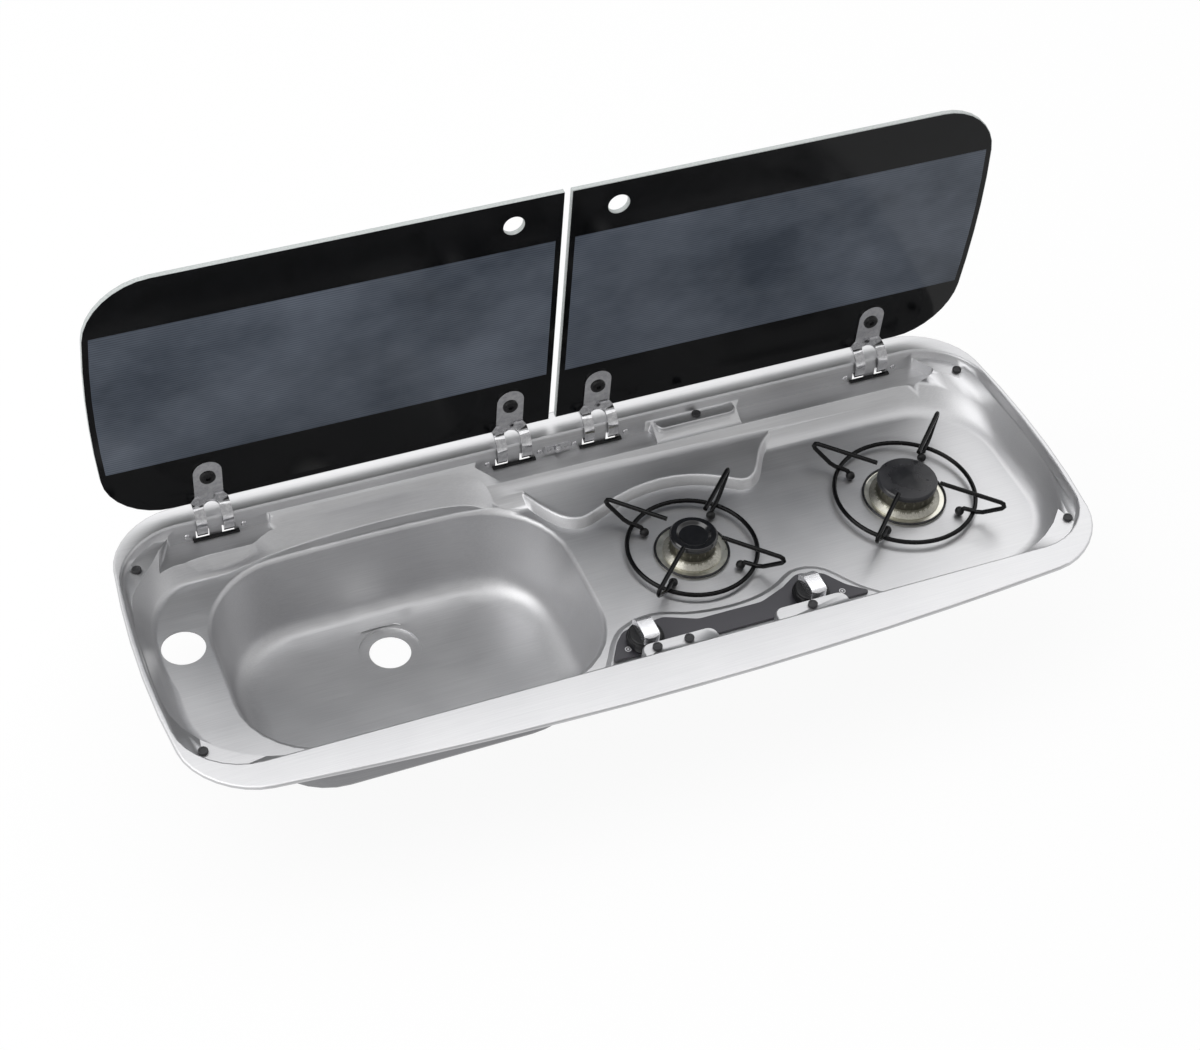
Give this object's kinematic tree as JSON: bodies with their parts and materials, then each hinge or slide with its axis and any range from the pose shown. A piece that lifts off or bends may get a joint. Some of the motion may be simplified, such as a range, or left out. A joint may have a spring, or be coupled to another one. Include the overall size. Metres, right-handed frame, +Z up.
{
  "type": "hob and sink combo",
  "caption": "Drop-in pressed steel worktop unit with a sink bowl, gas burners with wire pan supports, push and turn knobs, and folding glass lids.",
  "frame": {"origin": "centre of the worktop cut-out, on the worktop's top face, where the rim's lip and sealing strip rest", "axes": "+X along the unit to the right, from the sink to the burners; +Y back to the hinge side; +Z up"},
  "size_m": [0.8996, 0.37, 0.4256],
  "materials": {
    "brushed_sheet": "brushed",
    "bright_steel": "satin",
    "black_rubber": "matte",
    "lid_glass": "gloss",
    "black_plastic": "satin",
    "satin_chrome": "satin",
    "brass": "machined",
    "aluminium": "cast",
    "dark_steel": "satin",
    "black_enamel": "gloss"
  },
  "bodies": {
    "frame": {"top_pressing": "brushed_sheet", "rim_gasket": "black_rubber", "lid_buffers": "black_rubber", "hinge_housings": "dark_steel", "hinge_pins": "bright_steel", "hinge_washers": "bright_steel", "hinge_rivets": "bright_steel", "slot_guards": "black_plastic", "centre_bracket": "bright_steel", "bracket_nut": "bright_steel", "control_strip": "black_plastic", "tap_body_left": "brass", "tap_body_right": "brass", "gas_rail": "bright_steel", "feed_pipe_small": "aluminium", "feed_pipe_large": "aluminium", "gas_inlet": "brass", "dish_small": "bright_steel", "dish_large": "bright_steel", "burner_small": "aluminium", "burner_large": "aluminium"},
    "sink_lid": {"sink_lid_glass": "lid_glass", "sink_lid_arms": "bright_steel", "sink_lid_clamps": "black_plastic"},
    "hob_lid": {"hob_lid_glass": "lid_glass", "hob_lid_arms": "bright_steel", "hob_lid_clamps": "black_plastic"},
    "left_spindle": {"spindle_left": "bright_steel"},
    "left_knob": {"knob_left": "black_plastic", "knob_left_grip": "satin_chrome"},
    "right_spindle": {"spindle_right": "bright_steel"},
    "right_knob": {"knob_right": "black_plastic", "knob_right_grip": "satin_chrome"},
    "small_support": {"support_small": "black_enamel", "support_small_feet": "black_rubber"},
    "large_support": {"support_large": "black_enamel", "support_large_feet": "black_rubber"},
    "small_cap": {"cap_small": "black_enamel"},
    "large_cap": {"cap_large": "black_enamel"}
  },
  "joints": [
    {"name": "sink_lid_hinge", "type": "hinge", "parent": "frame", "child": "sink_lid", "pos_m": [0, 0.16525, -0.005], "axis": [-1, 0, 0], "range_deg": [-87.4, 0]},
    {"name": "hob_lid_hinge", "type": "hinge", "parent": "frame", "child": "hob_lid", "pos_m": [0, 0.16525, -0.005], "axis": [-1, 0, 0], "range_deg": [-87.4, 0]},
    {"name": "left_knob_push", "type": "slide", "parent": "frame", "child": "left_spindle", "axis": [0, 0, -1], "range_m": [0, 0.003], "stiffness_N_per_m": 1000, "springref_m": -0.003},
    {"name": "left_knob_turn", "type": "hinge", "parent": "left_spindle", "child": "left_knob", "pos_m": [-0.01, -0.096, 0], "axis": [0, 0, 1], "range_deg": [0, 200]},
    {"name": "right_knob_push", "type": "slide", "parent": "frame", "child": "right_spindle", "axis": [0, 0, -1], "range_m": [0, 0.003], "stiffness_N_per_m": 1000, "springref_m": -0.003},
    {"name": "right_knob_turn", "type": "hinge", "parent": "right_spindle", "child": "right_knob", "pos_m": [0.157, -0.096, 0], "axis": [0, 0, 1], "range_deg": [0, 200]},
    {"name": "small_support_lift", "type": "slide", "parent": "frame", "child": "small_support", "axis": [0, 0, 1], "range_m": [0, 0.08]},
    {"name": "large_support_lift", "type": "slide", "parent": "frame", "child": "large_support", "axis": [0, 0, 1], "range_m": [0, 0.08]},
    {"name": "small_cap_lift", "type": "slide", "parent": "frame", "child": "small_cap", "axis": [0, 0, 1], "range_m": [0, 0.06]},
    {"name": "large_cap_lift", "type": "slide", "parent": "frame", "child": "large_cap", "axis": [0, 0, 1], "range_m": [0, 0.06]}
  ]
}
